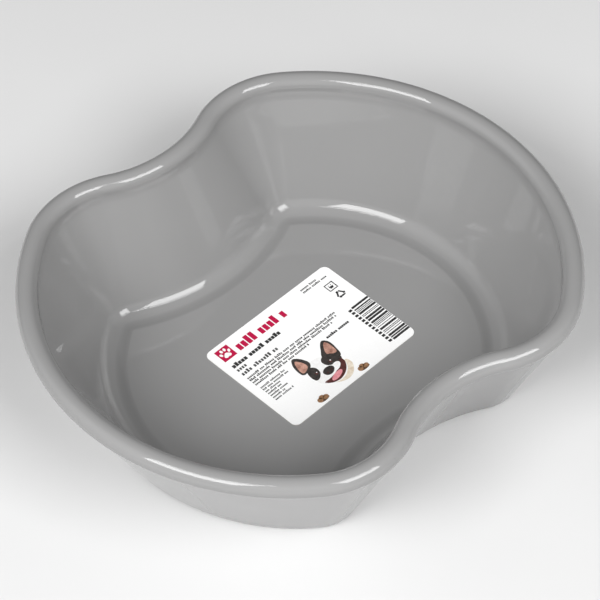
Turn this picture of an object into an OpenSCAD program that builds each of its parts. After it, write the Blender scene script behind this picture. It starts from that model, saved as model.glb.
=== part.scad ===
// Pet bowl with a pinched waist: one gloss moulding with a round bead at its rim,
// and a self-adhesive paper label on the inside of its floor.
// The long axis is X, the bowl is the same on both sides of X and of Y, and it stands on Z = 0.

/* [Rim outline, along the middle of the bead] */
// Radius of the four lobe arcs
lobe_radius = 32.4; // [32.4:0.2:36]
// How much larger the radius of the two end arcs is
end_step = 63.2; // [60:0.2:66]
// Size of the 8-15-17 triangle from a lobe's centre to the waist's centre
waist_triangle = 4.8; // [4.7:0.02:5]
// Overall height. A taller bowl needs a larger lobe radius, or its walls would meet at the lobes
bowl_height = 51.6; // [45:0.2:51.8]

/* [Rim bead] */
// Radius of the bead
bead_radius = 3.9; // [3.4:0.1:4.1]
// How far the bead stands proud of the wall on the outside
bead_step_outside = 0.7; // [0.3:0.1:1]
// How far the bead stands proud of the wall on the inside
bead_step_inside = 1.7; // [1.6:0.1:2.2]
// Radius of the hollow below the bead, outside
blend_outside = 6; // [4:0.5:8]
// Radius of the hollow below the bead, inside
blend_inside = 10; // [8:0.5:12]

/* [Wall and floor] */
// Lean of the outer face of the wall, from upright, in degrees
draft_outside = 24.5; // [22:0.5:26]
// Lean of the inner face of the wall, from upright, in degrees
draft_inside = 25; // [23:0.5:25]
// Height of the inside floor above the ground
floor_height = 2.6; // [2.3:0.1:3.4]
// Radius between the inner face and the floor
floor_fillet = 8.5; // [7:0.5:8.5]
// Steepest slope from the bottom of the shallow gutter round the floor up to the floor, in degrees
gutter_slope = 13; // [6:1:13]
// Radius of the floor's rounded edge beside the gutter
floor_crown = 4; // [2:0.5:4]
// Radius of the outer edge of the base
base_edge_radius = 3.4; // [2:0.2:4]
// Width of the flat seat ring that the bowl stands on
seat_width = 6; // [4:0.5:7]
// Depth of the underside inside the seat ring
recess_depth = 0.6; // [0.3:0.1:0.9]
// Radius of the gate mark under the middle of the floor
gate_radius = 2; // [1:0.5:3]

/* [Label] */
// Length of the label
label_length = 61.8; // [50:0.2:64]
// Width of the label
label_width = 48.2; // [40:0.2:50]
// Radius of the label's corners
label_corner = 2.6; // [1:0.2:4]
// Distance of the label's middle from the bowl's middle, along X
label_x = 4.5; // [-8:0.5:8]
// Distance of the label's middle from the bowl's middle, along Y
label_y = 1.6; // [-5:0.2:5]
// Turn of the label on the floor, in degrees
label_turn = 3; // [-8:0.5:8]
// Thickness of the label's paper
paper_thickness = 0.15; // [0.1:0.01:0.2]
// Thickness of the adhesive under it
adhesive_thickness = 0.1; // [0.06:0.01:0.15]

/* [Hidden] */
$fn = 64;
arc_steps = 24;

// Rim outline: arcs that run smoothly into each other, so each seam lies on the line through
// two centres. Both lines follow whole-number triangles, which makes the seams meet exactly:
// 3-4-5 from the end's centre to the lobe's, and 8-15-17 from the lobe's to the waist's
to_lobe = [3, 4];
to_waist = [-8, 15];
lobe_centre = [8 * waist_triangle, end_step / 5 * to_lobe.y];
end_centre = lobe_centre - end_step / 5 * to_lobe;
waist_centre = lobe_centre + waist_triangle * to_waist;
end_radius = lobe_radius + end_step;
waist_radius = 17 * waist_triangle - lobe_radius;
end_angle = atan2(to_lobe.y, to_lobe.x);
lobe_angle = atan2(to_waist.y, to_waist.x);

// Wall section, in a plane square to the rim: x is outward from the middle of the bead, y is up
bead = [0, bowl_height - bead_radius];
outer_normal = [cos(draft_outside), -sin(draft_outside)];
inner_normal = [-cos(draft_inside), sin(draft_inside)];
outer_down = [-sin(draft_outside), -cos(draft_outside)];
inner_down = [-sin(draft_inside), -cos(draft_inside)];
outer_reach = bead_radius - bead_step_outside;
inner_reach = bead_radius - bead_step_inside;

// Hollow blends between the bead and each face: how far down the face each one starts, and its centre
function blend_run(r, reach) = sqrt((bead_radius + r) ^ 2 - (reach + r) ^ 2);
outer_touch = bead + outer_reach * outer_normal + blend_run(blend_outside, outer_reach) * outer_down;
inner_touch = bead + inner_reach * inner_normal + blend_run(blend_inside, inner_reach) * inner_down;
outer_blend_centre = outer_touch + blend_outside * outer_normal;
inner_blend_centre = inner_touch + blend_inside * inner_normal;

// Where the outer face meets the ground, and the round edge that takes that corner off
outer_drop = (bead + outer_reach * outer_normal).y / cos(draft_outside);
outer_foot = bead + outer_reach * outer_normal + outer_drop * outer_down;
edge_run = base_edge_radius * tan((90 - draft_outside) / 2);
edge_seat = outer_foot - [edge_run, 0];
edge_centre = edge_seat + [0, base_edge_radius];
edge_wall = edge_centre + base_edge_radius * outer_normal;

// Where the inner face would meet the level of the gutter's bottom, and the fillet there. The fillet
// runs on past the bottom, and the floor's rounded edge takes over where it is steepest
gutter_depth = (floor_fillet + floor_crown) * (1 - cos(gutter_slope));
inner_drop = ((bead + inner_reach * inner_normal).y - floor_height + gutter_depth) / cos(draft_inside);
inner_foot = bead + inner_reach * inner_normal + inner_drop * inner_down;
fillet_run = floor_fillet * tan((90 - draft_inside) / 2);
fillet_centre = inner_foot + [-fillet_run, floor_fillet];
fillet_wall = fillet_centre - floor_fillet * inner_normal;
fillet_end = fillet_centre - floor_fillet * [sin(gutter_slope), cos(gutter_slope)];
crown_centre = fillet_end - floor_crown * [sin(gutter_slope), cos(gutter_slope)];
crown_top = crown_centre + [0, floor_crown];
crown_corner = crown_top + [floor_crown * tan(gutter_slope / 2), 0];

// Inward distances from the middle of the bead: edge of the floor panel, end of the section, seat ring
panel_inset = -crown_top.x + 0.2;
section_end = -crown_top.x + 0.4;
recess_inset = -edge_seat.x + seat_width;

// Points along an arc
function arc(centre, r, from, to) =
    [for (i = [0 : arc_steps]) let (a = from + (to - from) * i / arc_steps) centre + r * [cos(a), sin(a)]];

// One quarter of the rim outline moved inward, from the +X end round to the +Y waist
function quarter(inset) = concat(
    arc(end_centre, end_radius - inset, 0, end_angle),
    arc(lobe_centre, lobe_radius - inset, end_angle, lobe_angle),
    arc(waist_centre, waist_radius + inset, lobe_angle + 180, 270));

// The quarter's points in reverse, for walking the outline in one direction
function reversed(points) = [for (i = [len(points) - 1 : -1 : 0]) points[i]];

// The whole outline moved inward by the inset
function outline(inset) = let (q = quarter(inset)) concat(
    q,
    [for (p = reversed(q)) [-p.x, p.y]],
    [for (p = q) [-p.x, -p.y]],
    [for (p = reversed(q)) [p.x, -p.y]]);

// What lies outside a circle within the corner between three points, for rounding that corner off
module round_off(centre, r, corner) {
    difference() {
        polygon(concat([centre], corner));
        translate(centre) circle(r);
    }
}

// Section through the bead, the wall, the base edge, the gutter and the edge of the floor
module wall_section() {
    crown = 2 * bead_radius;
    difference() {
        polygon([
            inner_touch, inner_blend_centre, bead + [-crown, crown], bead + [crown, crown],
            outer_blend_centre, outer_touch, outer_foot, [-section_end, 0],
            [-section_end, floor_height], crown_corner, fillet_end, fillet_centre, fillet_wall]);
        round_off(bead, bead_radius, [outer_blend_centre, bead + [crown, crown],
            bead + [-crown, crown], inner_blend_centre]);
        round_off(edge_centre, base_edge_radius, [edge_seat, outer_foot, edge_wall]);
        round_off(crown_centre, floor_crown, [crown_top, crown_corner, fillet_end]);
        translate(outer_blend_centre) circle(blend_outside);
        translate(fillet_centre) circle(floor_fillet);
        translate(inner_blend_centre) circle(blend_inside);
    }
}

// The part of a swept wall between two rays from its centre
module between(centre, ray_a, middle, ray_b) {
    far = 12;
    intersection() {
        translate(centre) children();
        linear_extrude(bowl_height + 1)
            polygon([centre, centre + far * ray_a, centre + far * middle, centre + far * ray_b]);
    }
}

// Wall round the +X end
module end_wall() {
    between(end_centre, [to_lobe.x * 3, -to_lobe.y * 3], [20, 0], to_lobe * 3)
        rotate([0, 0, 180]) rotate_extrude() translate([end_radius, 0]) wall_section();
}

// Wall round the lobe at +X, +Y
module lobe_wall() {
    between(lobe_centre, to_lobe, [0, 15], to_waist)
        rotate_extrude() translate([lobe_radius, 0]) wall_section();
}

// Wall round the waist at +Y, which curves the other way
module waist_wall() {
    between(waist_centre, -to_waist, [0, -15], [to_waist.x, -to_waist.y])
        rotate_extrude() translate([waist_radius, 0]) mirror([1, 0]) wall_section();
}

// The whole ring of wall: two ends, two waists and four lobes
module wall_ring() {
    for (x = [0, 1]) mirror([x, 0]) {
        end_wall();
        for (y = [0, 1]) mirror([0, y]) lobe_wall();
    }
    for (y = [0, 1]) mirror([0, y]) waist_wall();
}

module bowl() {
    color([0.56, 0.56, 0.56]) {
        difference() {
            union() {
                wall_ring();
                linear_extrude(floor_height) polygon(outline(panel_inset));
            }
            translate([0, 0, -1]) linear_extrude(1 + recess_depth) polygon(outline(recess_inset));
        }
        translate([0, 0, recess_depth / 2]) cylinder(r = gate_radius, h = recess_depth);
    }
}

// A rounded sheet where the label lies, from one height above the floor up by its thickness
module label_sheet(above_floor, thickness) {
    corner_x = label_length / 2 - label_corner;
    corner_y = label_width / 2 - label_corner;
    translate([label_x, label_y, floor_height + above_floor]) rotate([0, 0, label_turn])
        linear_extrude(thickness) {
            square([label_length, 2 * corner_y], center = true);
            square([2 * corner_x, label_width], center = true);
            for (x = [-corner_x, corner_x], y = [-corner_y, corner_y]) translate([x, y]) circle(label_corner);
        }
}

module label_adhesive() {
    color([0.9, 0.87, 0.75]) label_sheet(0, adhesive_thickness);
}

module label() {
    color("white") label_sheet(adhesive_thickness, paper_thickness);
}

bowl();
label_adhesive();
label();
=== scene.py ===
import math
import random

import bpy
from mathutils import Matrix, Vector


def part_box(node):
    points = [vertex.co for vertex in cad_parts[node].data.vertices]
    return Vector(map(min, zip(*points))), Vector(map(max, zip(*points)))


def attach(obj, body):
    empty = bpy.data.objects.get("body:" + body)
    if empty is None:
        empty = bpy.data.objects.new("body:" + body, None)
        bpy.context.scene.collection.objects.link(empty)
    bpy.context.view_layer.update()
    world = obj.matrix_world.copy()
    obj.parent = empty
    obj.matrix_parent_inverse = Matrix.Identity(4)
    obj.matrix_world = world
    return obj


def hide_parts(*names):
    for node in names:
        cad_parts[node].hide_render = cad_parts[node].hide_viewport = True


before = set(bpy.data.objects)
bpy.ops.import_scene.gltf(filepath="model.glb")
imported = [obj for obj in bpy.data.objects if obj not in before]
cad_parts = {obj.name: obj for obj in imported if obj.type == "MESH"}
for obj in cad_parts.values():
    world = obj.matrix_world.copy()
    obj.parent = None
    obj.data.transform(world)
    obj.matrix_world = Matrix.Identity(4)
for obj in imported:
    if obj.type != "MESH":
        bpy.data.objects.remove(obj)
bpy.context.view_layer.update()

MM = 0.001
bowl_low, bowl_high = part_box("bowl")
label_low, label_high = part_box("label")

# Driving dimensions of the bowl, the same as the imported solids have
LOBE_RADIUS = 32.4 * MM
END_STEP = 63.2 * MM
WAIST_TRIANGLE = 4.8 * MM
STEP_OUTSIDE = 0.7 * MM
STEP_INSIDE = 1.7 * MM
BLEND_OUTSIDE = 6 * MM
BLEND_INSIDE = 10 * MM
DRAFT_OUTSIDE = math.radians(24.5)
DRAFT_INSIDE = math.radians(25)
FLOOR_HEIGHT = 2.6 * MM
FLOOR_FILLET = 8.5 * MM
FLOOR_CROWN = 4 * MM
GUTTER_SLOPE = math.radians(13)
BASE_EDGE = 3.4 * MM
SEAT_WIDTH = 6 * MM
RECESS_DEPTH = 0.6 * MM
GATE_RADIUS = 2 * MM

# How finely the bowl's skin is drawn: spacing along the rim, and steps in each stretch of the section
ARC_STEP = 1.1 * MM
FEWEST_ARC_STEPS = 8
CROWN_STEPS = 8
FILLET_STEPS = 24
INNER_FACE_STEPS = 14
BLEND_STEPS = 8
BEAD_STEPS = 36
OUTER_FACE_STEPS = 16
BASE_EDGE_STEPS = 10
SEAT_STEPS = 3
LIP_STEPS = 4

# Rings from the section in to the middle of the floor and of the underside, and the circles they end in
FLOOR_RINGS = 12
BELOW_RINGS = 10
FLOOR_CIRCLE = 3 * MM
BELOW_CIRCLE = 6 * MM
# The gate mark's rings, in parts of its radius and of the recess's depth
GATE_PROFILE = ((1.35, 1.0), (1.1, 0.97), (1.0, 0.8), (0.95, 0.5), (0.8, 0.42), (0.3, 0.5))

# The plastic: its darkest and lightest grey, its least and most rough gloss, and what the underside adds
PLASTIC_DARK = (0.262, 0.261, 0.260)
PLASTIC_LIGHT = (0.278, 0.277, 0.276)
GLOSS_SMOOTH = 0.02
GLOSS_SCUFFED = 0.055
UNDERSIDE_DULL = 0.3
# Painted shade in the gutter: the part of the plastic's colour that is left there, and the drop below the
# floor at which it is reached
GUTTER_PAINTED_SHADE = 0.88
GUTTER_DROP = 0.3 * MM

# Label: size and turn on the floor, height of a layer of ink and the part of it that is filled, and the
# thinnest bar in millimetres
LABEL_SIZE = Vector((61.8 * MM, 48.2 * MM))
LABEL_TURN = math.radians(3)
INK_LAYER = 0.012 * MM
INK_FILL = 0.8
BAR_MODULE = 0.33
# Blocks that stand for text: a small letter's height in parts of a tall one's, and the gap between words in
# letter pitches
SMALL_LETTER = 0.72
WORD_GAP = 0.8

# Camera: where it looks from, its roll, and the point that it looks at
VIEW_AZIMUTH = math.radians(-38.646)
VIEW_ELEVATION = math.radians(48.26)
VIEW_ROLL = math.radians(-3.548)
VIEW_DISTANCE = 0.8857
VIEW_TARGET = Vector((-0.0092, -0.0109, 0.0477))
VIEW_LENS = 152.94

# Lamps: name, azimuth from the camera's and elevation in degrees, width, height and power
LAMP_DISTANCE = 1.5
LAMPS = (
    ("softbox_left", -43, 44, 0.78, 0.57, 14.2),
    ("softbox_right", 43, 44, 0.78, 0.57, 13.4),
    ("strip_left", -43, 59, 0.8, 0.07, 1.8),
    ("strip_right", 43, 59, 0.8, 0.07, 1.8),
)
# Glows of the surroundings: azimuth from the camera's, elevation and reach in degrees, and strength
GLOWS = ((0, 20, 50, 0.7), (-80, 26, 50, 0.95), (80, 22, 50, 0.45))

# The floor sheet: half its side, and how far it lies below the bowl's seat
FLOOR_HALF_SIDE = 3.0
FLOOR_GAP = 0.02 * MM


# ---------------------------------------------------------------- shapes in the plane

def polar(centre, radius, angle):
    """The point at an angle on a circle."""
    return Vector((centre[0] + radius * math.cos(angle), centre[1] + radius * math.sin(angle)))


def arc(centre, radius, start, stop, count):
    """Points along an arc, both ends included."""
    return [polar(centre, radius, start + (stop - start) * i / count) for i in range(count + 1)]


def rim_quarter():
    """Points along the middle of the bead, from the +X end to the +Y waist, each with its outward normal."""
    to_lobe, to_waist = Vector((3, 4)), Vector((-8, 15))
    lobe = Vector((8 * WAIST_TRIANGLE, END_STEP / 5 * to_lobe.y))
    end = lobe - END_STEP / 5 * to_lobe
    waist = lobe + WAIST_TRIANGLE * to_waist
    end_angle = math.atan2(to_lobe.y, to_lobe.x)
    lobe_angle = math.atan2(to_waist.y, to_waist.x)
    end_radius = LOBE_RADIUS + END_STEP
    waist_radius = 17 * WAIST_TRIANGLE - LOBE_RADIUS
    stretches = [
        (end, end_radius, 0.0, end_angle, 1),
        (lobe, LOBE_RADIUS, end_angle, lobe_angle, 1),
        (waist, waist_radius, lobe_angle + math.pi, 1.5 * math.pi, -1),
    ]
    points = []
    for centre, radius, start, stop, side in stretches:
        count = max(FEWEST_ARC_STEPS, round(radius * abs(stop - start) / ARC_STEP))
        for i in range(count):
            angle = start + (stop - start) * i / count
            points.append((polar(centre, radius, angle), side * polar((0, 0), 1, angle)))
    points.append((Vector((0, waist.y - waist_radius)), Vector((0, 1))))
    return points, end.x + end_radius


def rim_outline():
    """The closed outline along the middle of the bead, and how far its ends are from the bowl's middle."""
    quarter, reach = rim_quarter()
    half = quarter + [(Vector((-p.x, p.y)), Vector((-n.x, n.y))) for p, n in reversed(quarter[:-1])]
    other = [(Vector((p.x, -p.y)), Vector((n.x, -n.y))) for p, n in reversed(half[1:-1])]
    return half + other, reach


def straight(start, stop, count):
    """Points along a line after its start, its end included."""
    return [start.lerp(stop, i / count) for i in range(1, count + 1)]


def face_blend(bead, bead_radius, radius, step, normal, down):
    """Where a hollow blend leaves the wall's face, its centre, and the angle that it turns through."""
    reach = bead_radius - step
    run = math.sqrt((bead_radius + radius) ** 2 - (reach + radius) ** 2)
    touch = bead + reach * normal + run * down
    return touch, touch + radius * normal, math.atan2(run, reach + radius)


def inside_section(bead, bead_radius):
    """The section from the floor up the inner face to the bead, and the turn of its blend."""
    normal = Vector((-math.cos(DRAFT_INSIDE), math.sin(DRAFT_INSIDE)))
    down = Vector((-math.sin(DRAFT_INSIDE), -math.cos(DRAFT_INSIDE)))
    touch, centre, turn = face_blend(bead, bead_radius, BLEND_INSIDE, STEP_INSIDE, normal, down)

    gutter_floor = FLOOR_HEIGHT - (FLOOR_FILLET + FLOOR_CROWN) * (1 - math.cos(GUTTER_SLOPE))
    start = bead + (bead_radius - STEP_INSIDE) * normal
    foot = start + (start.y - gutter_floor) / math.cos(DRAFT_INSIDE) * down
    fillet_run = FLOOR_FILLET * math.tan((math.pi / 2 - DRAFT_INSIDE) / 2)
    fillet_centre = foot + Vector((-fillet_run, FLOOR_FILLET))
    gutter_start = -math.pi / 2 - GUTTER_SLOPE
    crown_centre = polar(fillet_centre, FLOOR_FILLET + FLOOR_CROWN, gutter_start)

    points = arc(crown_centre, FLOOR_CROWN, math.pi / 2, math.pi / 2 - GUTTER_SLOPE, CROWN_STEPS)
    points += arc(fillet_centre, FLOOR_FILLET, gutter_start, -DRAFT_INSIDE, FILLET_STEPS)[1:]
    points += straight(points[-1], touch, INNER_FACE_STEPS)
    points += arc(centre, BLEND_INSIDE, -DRAFT_INSIDE, -DRAFT_INSIDE + turn, BLEND_STEPS)[1:]
    return points, turn


def outside_section(bead, bead_radius):
    """The section from the bead down the outer face to the recess below, and the turn of its blend."""
    normal = Vector((math.cos(DRAFT_OUTSIDE), -math.sin(DRAFT_OUTSIDE)))
    down = Vector((-math.sin(DRAFT_OUTSIDE), -math.cos(DRAFT_OUTSIDE)))
    _, centre, turn = face_blend(bead, bead_radius, BLEND_OUTSIDE, STEP_OUTSIDE, normal, down)

    start = bead + (bead_radius - STEP_OUTSIDE) * normal
    foot = start + start.y / math.cos(DRAFT_OUTSIDE) * down
    edge_run = BASE_EDGE * math.tan((math.pi / 2 - DRAFT_OUTSIDE) / 2)
    edge_centre = foot + Vector((-edge_run, BASE_EDGE))
    lip = RECESS_DEPTH / 2

    blend_end = math.pi - DRAFT_OUTSIDE
    points = arc(centre, BLEND_OUTSIDE, blend_end - turn, blend_end, BLEND_STEPS)
    points += straight(points[-1], edge_centre + BASE_EDGE * normal, OUTER_FACE_STEPS)
    points += arc(edge_centre, BASE_EDGE, -DRAFT_OUTSIDE, -math.pi / 2, BASE_EDGE_STEPS)[1:]
    seat_end = points[-1] - Vector((SEAT_WIDTH, 0))
    points += straight(points[-1], seat_end, SEAT_STEPS)
    points += arc(seat_end + Vector((0, lip)), lip, -math.pi / 2, -math.pi, LIP_STEPS)[1:]
    points += arc(seat_end + Vector((-RECESS_DEPTH, lip)), lip, 0, math.pi / 2, LIP_STEPS)[1:]
    return points, turn


def wall_section(bead_radius):
    """Points (outward, up) of the wall's section: inner face, bead, outer face and base."""
    bead = Vector((0, bowl_high.z - bowl_low.z - bead_radius))
    inside, inside_turn = inside_section(bead, bead_radius)
    outside, outside_turn = outside_section(bead, bead_radius)
    over_start = math.pi - DRAFT_INSIDE + inside_turn
    over_end = -DRAFT_OUTSIDE - outside_turn
    over = arc(bead, bead_radius, over_start, over_end, BEAD_STEPS)
    return inside + over[1:] + outside[1:]


# ---------------------------------------------------------------- meshes

def make_object(name, vertices, faces, material, smooth=True):
    """A mesh object that belongs to the bowl's one body."""
    mesh = bpy.data.meshes.new(name)
    mesh.from_pydata(vertices, [], faces)
    mesh.validate()
    mesh.polygons.foreach_set("use_smooth", [smooth] * len(mesh.polygons))
    mesh.materials.append(material)
    piece = bpy.data.objects.new(name, mesh)
    bpy.context.scene.collection.objects.link(piece)
    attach(piece, "root")
    return piece


def shrunk(ring, keep, circle, round_part, z):
    """A ring pulled in towards the middle, and part of the way to a circle."""
    out = []
    for x, y, _ in ring:
        size = math.hypot(x, y)
        to_circle = round_part * circle / size + (1 - round_part) * keep
        out.append((x * to_circle, y * to_circle, z))
    return out


def bowl_rings(outline, section):
    """The bowl's skin as rings of points: floor, wall, bead, outside, base and the gate mark below."""
    wall = [[(p.x + o * n.x, p.y + o * n.y, z) for p, n in outline] for o, z in section]
    floor, below = [], []
    for k in range(1, FLOOR_RINGS):
        keep = k / FLOOR_RINGS
        floor.append(shrunk(wall[0], keep, FLOOR_CIRCLE, (1 - keep) ** 2, FLOOR_HEIGHT))
    for k in range(BELOW_RINGS - 1, 0, -1):
        keep = k / BELOW_RINGS
        below.append(shrunk(wall[-1], keep, BELOW_CIRCLE, (1 - keep) ** 2, RECESS_DEPTH))
    gate = [shrunk(wall[-1], 0, GATE_RADIUS * size, 1, RECESS_DEPTH * height)
            for size, height in GATE_PROFILE]
    return floor + wall + below + gate


def skin_faces(rings, count):
    """Faces between neighbouring rings, and the fans that close the first and the last one."""
    faces = []
    last = (len(rings) - 1) * count
    floor_middle = len(rings) * count
    below_middle = floor_middle + 1
    for k in range(len(rings) - 1):
        for i in range(count):
            j = (i + 1) % count
            faces.append((k * count + i, k * count + j, (k + 1) * count + j, (k + 1) * count + i))
    for i in range(count):
        j = (i + 1) % count
        faces.append((floor_middle, j, i))
        faces.append((below_middle, last + i, last + j))
    return [tuple(reversed(face)) for face in faces]


def make_bowl(material):
    """The bowl's skin, from the section and the outline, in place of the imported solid."""
    outline, end_reach = rim_outline()
    bead_radius = bowl_high.x - end_reach
    rings = bowl_rings(outline, wall_section(bead_radius))
    vertices = [point for ring in rings for point in ring]
    vertices += [(0, 0, FLOOR_HEIGHT), (0, 0, 0.5 * RECESS_DEPTH)]
    bowl = make_object("bowl_shell", vertices, skin_faces(rings, len(outline)), material)
    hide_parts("bowl")


# ---------------------------------------------------------------- materials

def new_material(name, **sockets):
    """A material with its principled shader, and the sockets that are the same all over."""
    material = bpy.data.materials.new(name)
    material.use_nodes = True
    shader = material.node_tree.nodes["Principled BSDF"]
    for socket, value in sockets.items():
        shader.inputs[socket.replace("_", " ")].default_value = value
    return material, shader


def add(material, kind, links=(), **settings):
    """A node, with its attributes and inputs set and its inputs linked."""
    node = material.node_tree.nodes.new(kind)
    for key, value in settings.items():
        if hasattr(node, key):
            setattr(node, key, value)
        else:
            node.inputs[key.replace("_", " ")].default_value = value
    for socket, source in links:
        material.node_tree.links.new(source, node.inputs[socket])
    return node


def noise(material, scale, detail=3.0, rough=0.55):
    """Noise over the object's own coordinates."""
    place = add(material, "ShaderNodeTexCoord")
    return add(material, "ShaderNodeTexNoise", [("Vector", place.outputs["Object"])],
               Scale=scale, Detail=detail, Roughness=rough).outputs["Fac"]


def spread(material, source, low, high, start=0.0, stop=1.0):
    """The source's range turned into another range."""
    return add(material, "ShaderNodeMapRange", [("Value", source)],
               From_Min=start, From_Max=stop, To_Min=low, To_Max=high).outputs["Result"]


def tint(material, source, dark, light):
    """A colour between two, by the source."""
    ramp = add(material, "ShaderNodeValToRGB", [("Fac", source)])
    ramp.color_ramp.elements[0].color = (*dark, 1)
    ramp.color_ramp.elements[1].color = (*light, 1)
    ramp.color_ramp.elements[0].position = 0.3
    ramp.color_ramp.elements[1].position = 0.7
    return ramp.outputs["Color"]


def bump(material, shader, heights):
    """Bumps of several sizes, one after the other, into the shader's normal."""
    normal = None
    for source, distance in heights:
        links = [("Height", source)] + ([("Normal", normal)] if normal else [])
        normal = add(material, "ShaderNodeBump", links, Strength=1.0, Distance=distance).outputs["Normal"]
    material.node_tree.links.new(normal, shader.inputs["Normal"])


def upward(material, source):
    """The upward part of a vector."""
    return add(material, "ShaderNodeSeparateXYZ", [("Vector", source)]).outputs["Z"]


def bowl_plastic():
    """Gloss grey plastic: faint flow clouds, ripple and scuffs, painted shade in the gutter, a duller
    underside.
    """
    material, shader = new_material("bowl_plastic", IOR=1.5, Specular_IOR_Level=0.5)
    link = material.node_tree.links.new
    clouds = noise(material, 14, 2)
    grey = tint(material, clouds, PLASTIC_DARK, PLASTIC_LIGHT)
    height = upward(material, add(material, "ShaderNodeTexCoord").outputs["Object"])
    facing = upward(material, add(material, "ShaderNodeNewGeometry").outputs["Normal"])
    # Painted shade: the grey is darkened in the gutter, towards its bottom below the floor's height
    gutter = spread(material, height, GUTTER_PAINTED_SHADE, 1.0, FLOOR_HEIGHT - GUTTER_DROP, FLOOR_HEIGHT)
    outside = spread(material, facing, 1.0, 0.0, -0.05, 0.05)  # the gutter's painted shade is for upward faces only
    painted_shade_factor = add(material, "ShaderNodeMath", [(0, gutter), (1, outside)], operation="MAXIMUM")
    shade = add(material, "ShaderNodeVectorMath", [(0, grey), ("Scale", painted_shade_factor.outputs["Value"])],
                operation="SCALE")
    link(shade.outputs["Vector"], shader.inputs["Base Color"])
    scuffs = spread(material, noise(material, 420, 4, 0.7), GLOSS_SMOOTH, GLOSS_SCUFFED, 0.35, 0.75)
    underside = spread(material, facing, UNDERSIDE_DULL, 0.0, -0.95, -0.8)
    roughness = add(material, "ShaderNodeMath", [(0, scuffs), (1, underside)], operation="ADD")
    link(roughness.outputs["Value"], shader.inputs["Roughness"])
    bump(material, shader, [(noise(material, 60, 1), 0.02 * MM), (noise(material, 900, 3), 0.0015 * MM)])
    return material


def label_paper():
    """Coated white label paper with a faint fibre texture."""
    material, shader = new_material("label_paper", Roughness=0.42, IOR=1.45,
                                    Coat_Weight=0.15, Coat_Roughness=0.2)
    fibres = noise(material, 2600, 4, 0.7)
    colour = tint(material, fibres, (0.90, 0.90, 0.895), (0.94, 0.94, 0.94))
    material.node_tree.links.new(colour, shader.inputs["Base Color"])
    bump(material, shader, [(fibres, 0.003 * MM), (noise(material, 90, 1), 0.01 * MM)])
    return material


def label_adhesive():
    """Clear yellowish adhesive, seen only as a hairline round the label's edge."""
    material, shader = new_material("label_adhesive", Roughness=0.35)
    colour = tint(material, noise(material, 1500), (0.62, 0.58, 0.46), (0.74, 0.71, 0.6))
    material.node_tree.links.new(colour, shader.inputs["Base Color"])
    bump(material, shader, [(noise(material, 2200), 0.004 * MM)])
    return material


def ink(name, dark, light, scale=3200):
    """Printed ink with the slight mottle of a press."""
    material, shader = new_material(name, Roughness=0.45, IOR=1.45, Coat_Weight=0.15, Coat_Roughness=0.2)
    colour = tint(material, noise(material, scale, 4, 0.7), dark, light)
    material.node_tree.links.new(colour, shader.inputs["Base Color"])
    return material


def floor_material():
    """Pale matt floor."""
    material, shader = new_material("pale_floor", Roughness=0.9)
    colour = tint(material, noise(material, 8), (0.68, 0.68, 0.68), (0.70, 0.70, 0.70))
    material.node_tree.links.new(colour, shader.inputs["Base Color"])
    return material


# ---------------------------------------------------------------- print on the label

label_middle = (label_low + label_high) / 2
label_place = Matrix.Translation((label_middle.x, label_middle.y, label_high.z))
label_frame = label_place @ Matrix.Rotation(LABEL_TURN, 4, "Z")


def box_shape(left, top, width, height):
    """A rectangle on the label, from its left edge and down from its top edge, in millimetres."""
    return [(left, top), (left, top + height), (left + width, top + height), (left + width, top)]


def oval(x, y, wide, high, turn=0.0, count=28):
    """An oval about a point, turned by an angle in degrees."""
    c, s = math.cos(math.radians(turn)), math.sin(math.radians(turn))
    out = []
    for i in range(count):
        a = -2 * math.pi * i / count
        u, v = wide / 2 * math.cos(a), high / 2 * math.sin(a)
        out.append((x + u * c - v * s, y + u * s + v * c))
    return out


def smooth_shape(points, cuts=6):
    """A closed curve through a few points."""
    out, count = [], len(points)
    for i in range(count):
        p0, p1, p2, p3 = (Vector(points[(i + k) % count]) for k in (-1, 0, 1, 2))
        for step in range(cuts):
            t = step / cuts
            out.append(tuple(0.5 * (2 * p1 + (p2 - p0) * t + (2 * p0 - 5 * p1 + 4 * p2 - p3) * t * t
                                    + (3 * p1 - p0 - 3 * p2 + p3) * t ** 3)))
    return out


def stroke(points, width):
    """An open line drawn with a pen of the given width, as one shape."""
    left, right = [], []
    path = [Vector(p) for p in points]
    for i, p in enumerate(path):
        ahead = path[min(i + 1, len(path) - 1)] - path[max(i - 1, 0)]
        side = Vector((-ahead.y, ahead.x)).normalized() * width / 2
        left.append(tuple(p + side))
        right.append(tuple(p - side))
    return left + right[::-1]


def word_blocks(left, top, width, height, seed, heavy=0.8, narrow=0.68):
    """A line of plain blocks that stands for a line of text, in words of uneven length."""
    draw = random.Random(seed)
    pitch = height * narrow
    shapes, x = [], left
    while x < left + width - pitch:
        for _ in range(draw.randint(3, 9)):
            if x > left + width - pitch:
                break
            tall = height * draw.choice((SMALL_LETTER, SMALL_LETTER, SMALL_LETTER, 1.0))
            shapes.append(box_shape(x, top + height - tall, pitch * heavy, tall))
            x += pitch
        x += pitch * WORD_GAP
    return shapes


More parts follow.
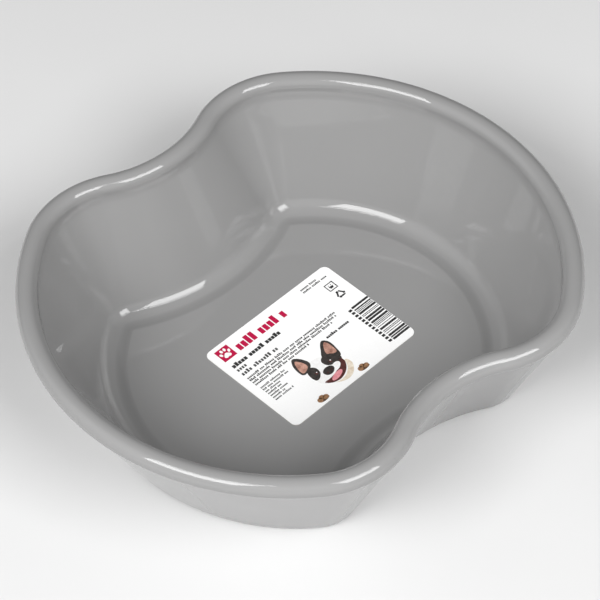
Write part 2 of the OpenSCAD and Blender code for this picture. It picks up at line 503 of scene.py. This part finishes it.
def print_piece(name, shapes, material, layer):
    """Shapes printed on the label, as thin closed prisms in a layer of their own."""
    vertices, faces = [], []
    bottom, top = layer * INK_LAYER, (layer + INK_FILL) * INK_LAYER
    for shape in shapes:
        start, count = len(vertices), len(shape)
        area = sum(shape[i - 1][0] * shape[i][1] - shape[i][0] * shape[i - 1][1] for i in range(count))
        points = shape if area < 0 else shape[::-1]
        flat = [Vector((x * MM - LABEL_SIZE.x / 2, LABEL_SIZE.y / 2 - y * MM, 0)) for x, y in points]
        vertices += [tuple(label_frame @ (p + Vector((0, 0, bottom)))) for p in flat]
        vertices += [tuple(label_frame @ (p + Vector((0, 0, top)))) for p in flat]
        faces.append(tuple(range(start + count - 1, start - 1, -1)))
        faces.append(tuple(range(start + count, start + 2 * count)))
        for i in range(count):
            j = (i + 1) % count
            faces.append((start + i, start + j, start + count + j, start + count + i))
    piece = make_object(name, vertices, faces, material, smooth=False)
    return piece


def paw(x, y, size):
    """A plain paw mark: one pad and four toes, placed in parts of its size."""
    pad = ((0, -0.06), (0.3, 0.22), (0.16, 0.38), (0, 0.33), (-0.16, 0.38), (-0.3, 0.22))
    toes = ((-0.36, -0.08, -24), (-0.14, -0.34, -8), (0.14, -0.34, 8), (0.36, -0.08, 24))
    shapes = [smooth_shape([(x + u * size, y + v * size) for u, v in pad])]
    return shapes + [oval(x + u * size, y + v * size, 0.2 * size, 0.3 * size, turn) for u, v, turn in toes]


def bars(left, top, width, length, seed):
    """A column of bars of uneven thickness, as on a bar code that stands on its side."""
    draw = random.Random(seed)
    shapes, y = [], top
    while y < top + length:
        thick = draw.choice((1, 1, 2, 3)) * BAR_MODULE
        shapes.append(box_shape(left, y, width, thick))
        y += thick + draw.choice((1, 1, 2)) * BAR_MODULE
    return shapes


def make_print():
    """All the print: the badge, rows of blocks, symbols, bars, a dog's head and dry food."""
    black = ink("ink_black", (0.02, 0.02, 0.02), (0.035, 0.035, 0.035))
    grey = ink("ink_grey", (0.04, 0.04, 0.04), (0.08, 0.08, 0.08))
    red = ink("ink_red", (0.42, 0.004, 0.045), (0.52, 0.008, 0.07))
    white = ink("ink_white", (0.88, 0.88, 0.87), (0.93, 0.93, 0.93))

    print_piece("print_badge", [box_shape(3.2, 1.9, 6.0, 6.2)], red, 1)
    print_piece("print_badge_paw", paw(6.2, 5.1, 5.2), white, 2)
    print_piece("print_heading", word_blocks(11.0, 3.6, 24.4, 4.4, 4, 0.8, 0.52), red, 1)
    print_piece("print_title", word_blocks(3.4, 10.5, 25.0, 2.1, 7, 0.86), black, 1)

    fine = word_blocks(3.4, 13.2, 4.7, 1.7, 2, 0.7) + word_blocks(3.4, 15.7, 18.4, 1.8, 3, 0.7)
    for row, width in enumerate((44.6, 44.0, 40.6, 27.6)):
        fine += word_blocks(3.4, 18.9 + 1.4 * row, width, 1.05, 20 + row, 0.75)
    for row, width in enumerate((12.2, 12.5, 8.2, 6.8, 8.8, 6.2, 9.4)):
        fine += word_blocks(3.7, 25.6 + 1.3 * row, width, 0.9, 30 + row, 0.75)
    fine += word_blocks(46.4, 2.3, 9.2, 1.0, 40, 0.75) + word_blocks(46.4, 3.8, 12.6, 1.0, 41, 0.75)
    print_piece("print_fine_lines", fine, grey, 1)
    print_piece("print_short_line", word_blocks(36.9, 25.6, 11.4, 1.3, 50, 0.86), black, 1)

    make_symbols(black)
    print_piece("print_bars", bars(53.4, 22.4, 8.3, 22.6, 9), black, 1)
    print_piece("print_bar_marks", [box_shape(51.5, 22.8 + 1.72 * i, 1.4, 1.1) for i in range(13)], black, 1)
    make_dog()
    make_kibble()


def make_symbols(material):
    """Two plain symbols: a square with a bowl in it, and three bars in a triangle."""
    frame_bars = [box_shape(53.8, 7.5, 4.1, 0.4), box_shape(53.8, 11.0, 4.1, 0.4),
                  box_shape(53.8, 7.92, 0.4, 3.06), box_shape(57.5, 7.92, 0.4, 3.06)]
    bowl_mark = [[(54.7, 9.3), (56.9, 9.3), (56.4, 10.4), (55.2, 10.4)], box_shape(55.1, 8.4, 0.3, 0.6),
                 box_shape(56.2, 8.4, 0.3, 0.6)]
    centre = Vector((55.8, 14.6))
    corners = [centre + polar((0, 0), 2.3, math.radians(a)) for a in (-90, 30, 150)]
    sides = []
    for i in range(3):
        start, stop = corners[i], corners[(i + 1) % 3]
        sides.append(stroke([start.lerp(stop, 0.16), start.lerp(stop, 0.76)], 0.7))
        tip, back = start.lerp(stop, 0.92), start.lerp(stop, 0.7)
        side = Vector((-(stop - start).y, (stop - start).x)).normalized() * 0.75
        sides.append([tuple(tip), tuple(back + side), tuple(back - side)])
    print_piece("print_symbols", frame_bars + bowl_mark + sides, material, 1)


def make_dog():
    """A black and white dog's head of a plain kind, with upright ears and an open mouth."""
    coat = ink("ink_dark_coat", (0.018, 0.016, 0.016), (0.07, 0.06, 0.055), 900)
    cream = ink("ink_cream", (0.62, 0.50, 0.36), (0.86, 0.80, 0.70), 500)
    pale = ink("ink_pale_coat", (0.80, 0.79, 0.78), (0.92, 0.92, 0.92), 700)
    ear_pink = ink("ink_ear", (0.24, 0.11, 0.08), (0.66, 0.38, 0.30), 420)

    neck = smooth_shape([(24, 43), (27.6, 45.6), (31.8, 45.2), (35, 41.8), (34.8, 38.6), (32, 39),
                         (28, 40.4)])
    print_piece("print_dog_neck", [neck], cream, 1)
    head = smooth_shape([(19.6, 35), (21.4, 31.6), (24.9, 30.2), (28.4, 31), (32.6, 33.4), (34, 36.8),
                         (33, 41), (29.2, 44), (24.5, 43.8), (20.6, 40.8)])
    print_piece("print_dog_head", [head], pale, 2)
    ears = [smooth_shape([(18.4, 32.8), (18.5, 28), (20.6, 24.7), (22.9, 26.4), (24.2, 30.4), (21.6, 33)]),
            smooth_shape([(29.2, 32.6), (31.2, 29), (34.2, 26), (36.2, 28), (36, 32.2), (34.4, 36)])]
    print_piece("print_dog_ears", ears, coat, 3)
    linings = [smooth_shape([(19, 32.2), (19.3, 28.8), (20.7, 26.2), (22.2, 28.2), (22.6, 30.8), (21, 32.2)]),
               smooth_shape([(31.6, 32), (32.9, 28.8), (34.8, 27.2), (35.5, 30.2), (34.8, 33.6)])]
    print_piece("print_dog_ear_linings", linings, ear_pink, 4)
    patches = [smooth_shape([(19.6, 36), (20.3, 33.2), (22.4, 32.2), (24, 33.8), (23.7, 36.4), (21.8, 38.2),
                             (20.1, 38.2)]),
               smooth_shape([(27.4, 33.2), (29.6, 31.6), (32.8, 32.8), (34.4, 36), (33, 38), (30.4, 37.2),
                             (28, 36)])]
    print_piece("print_dog_patches", patches, coat, 4)
    make_dog_face(coat, pale)


def make_dog_face(coat, pale):
    """The mouth, tongue, muzzle, nose and eyes of the dog's head."""
    tongue = ink("ink_tongue", (0.62, 0.20, 0.24), (0.80, 0.36, 0.38), 800)
    mouth = ink("ink_mouth", (0.05, 0.015, 0.015), (0.12, 0.04, 0.035), 900)

    jaw = smooth_shape([(21.6, 41), (24.2, 41), (27.6, 40.4), (31, 38.8), (33.4, 36.8), (33.7, 39.2),
                        (31, 42.4), (27, 43.9), (23.4, 43)])
    print_piece("print_dog_mouth", [jaw], mouth, 5)
    print_piece("print_dog_tongue", [oval(27.2, 41.7, 6.0, 2.3, -14)], tongue, 6)
    muzzle = [oval(23.9, 39.2, 4.6, 3.6, -14), oval(29.6, 38.4, 5.2, 3.0, -20)]
    print_piece("print_dog_muzzle", muzzle, pale, 7)
    nose = smooth_shape([(24.2, 37.4), (26.2, 36.2), (28.6, 36.8), (28.9, 38.4), (27, 39.8), (24.8, 39.4)])
    print_piece("print_dog_nose", [nose], coat, 8)
    print_piece("print_dog_nostrils", [oval(25.6, 38.5, 0.8, 0.6), oval(27.6, 38.3, 0.8, 0.6)], mouth, 9)
    print_piece("print_dog_eyes", [oval(22.5, 35.8, 1.2, 1.1), oval(30, 35.2, 1.3, 1.2)], mouth, 8)
    print_piece("print_dog_glints", [oval(22.8, 35.5, 0.5, 0.45), oval(30.3, 34.9, 0.55, 0.5)], pale, 9)


def make_kibble():
    """Two small heaps of dry food, of a few lumps each."""
    brown = ink("ink_kibble", (0.16, 0.075, 0.035), (0.42, 0.24, 0.13), 1400)
    dark = ink("ink_kibble_shade", (0.05, 0.03, 0.02), (0.14, 0.08, 0.05), 1400)
    lumps, shades = [], []
    for x, y in ((16.0, 45.4), (36.5, 45.4)):
        shades.append(oval(x + 0.1, y + 0.9, 4.6, 1.7))
        lumps.append(oval(x - 1.4, y + 0.3, 2.2, 2.2, 10))
        lumps.append(oval(x + 1.2, y + 0.4, 2.4, 2.0, -12))
        lumps.append(oval(x - 0.1, y - 0.5, 2.2, 1.7))
    print_piece("print_kibble_shade", shades, dark, 1)
    print_piece("print_kibble", lumps, brown, 2)


# ---------------------------------------------------------------- floor, light and camera

def make_floor():
    """The pale sheet that the bowl stands on."""
    side, low = FLOOR_HALF_SIDE, bowl_low.z - FLOOR_GAP
    mesh = bpy.data.meshes.new("pale_floor")
    mesh.from_pydata([(-side, -side, low), (side, -side, low), (side, side, low), (-side, side, low)],
                     [], [(0, 1, 2, 3)])
    mesh.materials.append(floor_material())
    floor = bpy.data.objects.new("pale_floor", mesh)
    bpy.context.scene.collection.objects.link(floor)


def view_direction(azimuth, elevation):
    """From the bowl towards a camera or lamp at this azimuth and elevation, in radians."""
    level = math.cos(elevation)
    return Vector((math.sin(azimuth) * level, -math.cos(azimuth) * level, math.sin(elevation)))


def from_camera(azimuth, elevation):
    """A direction given in degrees, with its azimuth counted from the camera's."""
    return view_direction(VIEW_AZIMUTH + math.radians(azimuth), math.radians(elevation))


def make_softbox(name, azimuth, elevation, wide, high, power):
    """A rectangular lamp that faces the middle of the bowl."""
    data = bpy.data.lights.new(name, "AREA")
    data.shape = "RECTANGLE"
    data.size = wide
    data.size_y = high
    data.energy = power
    lamp = bpy.data.objects.new(name, data)
    towards = from_camera(azimuth, elevation)
    lamp.location = towards * LAMP_DISTANCE
    lamp.rotation_mode = "QUATERNION"
    lamp.rotation_quaternion = (-towards).to_track_quat("-Z", "Y")
    bpy.context.scene.collection.objects.link(lamp)


def make_world(glows):
    """Studio surroundings: broad soft glows, each about one direction."""
    world = bpy.data.worlds.new("studio")
    world.use_nodes = True
    sky = world.node_tree.nodes["Background"]
    sky.inputs["Color"].default_value = (1, 1, 1, 1)
    place = add(world, "ShaderNodeTexCoord").outputs["Generated"]
    total = None
    for azimuth, elevation, reach, strength in glows:
        facing = add(world, "ShaderNodeVectorMath", [(0, place)], operation="DOT_PRODUCT")
        facing.inputs[1].default_value = from_camera(azimuth, elevation)
        glow = add(world, "ShaderNodeMapRange", [("Value", facing.outputs["Value"])],
                   interpolation_type="SMOOTHSTEP", From_Min=math.cos(math.radians(reach)), From_Max=1.0,
                   To_Min=0.0, To_Max=strength).outputs["Result"]
        if total:
            glow = add(world, "ShaderNodeMath", [(0, total), (1, glow)], operation="ADD").outputs["Value"]
        total = glow
    world.node_tree.links.new(total, sky.inputs["Strength"])
    bpy.context.scene.world = world


def make_camera():
    """The camera, which looks at its target from the given azimuth and elevation."""
    camera = bpy.data.objects.new("camera", bpy.data.cameras.new("camera"))
    camera.data.lens = VIEW_LENS
    camera.data.clip_start = 0.01
    camera.data.clip_end = 20
    back = view_direction(VIEW_AZIMUTH, VIEW_ELEVATION)
    camera.location = VIEW_TARGET + back * VIEW_DISTANCE
    camera.rotation_mode = "QUATERNION"
    turn = (-back).to_track_quat("-Z", "Y")
    camera.rotation_quaternion = turn @ Matrix.Rotation(VIEW_ROLL, 4, "Z").to_quaternion()
    bpy.context.scene.collection.objects.link(camera)
    bpy.context.scene.camera = camera


def dress(node, material):
    """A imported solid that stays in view, with its own material."""
    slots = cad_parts[node].data.materials
    slots.clear()
    slots.append(material)


make_camera()
make_bowl(bowl_plastic())
dress("label", label_paper())
dress("label_adhesive", label_adhesive())
make_print()
make_floor()
for lamp_settings in LAMPS:
    make_softbox(*lamp_settings)
make_world(GLOWS)
bpy.context.scene.view_settings.view_transform = "Standard"
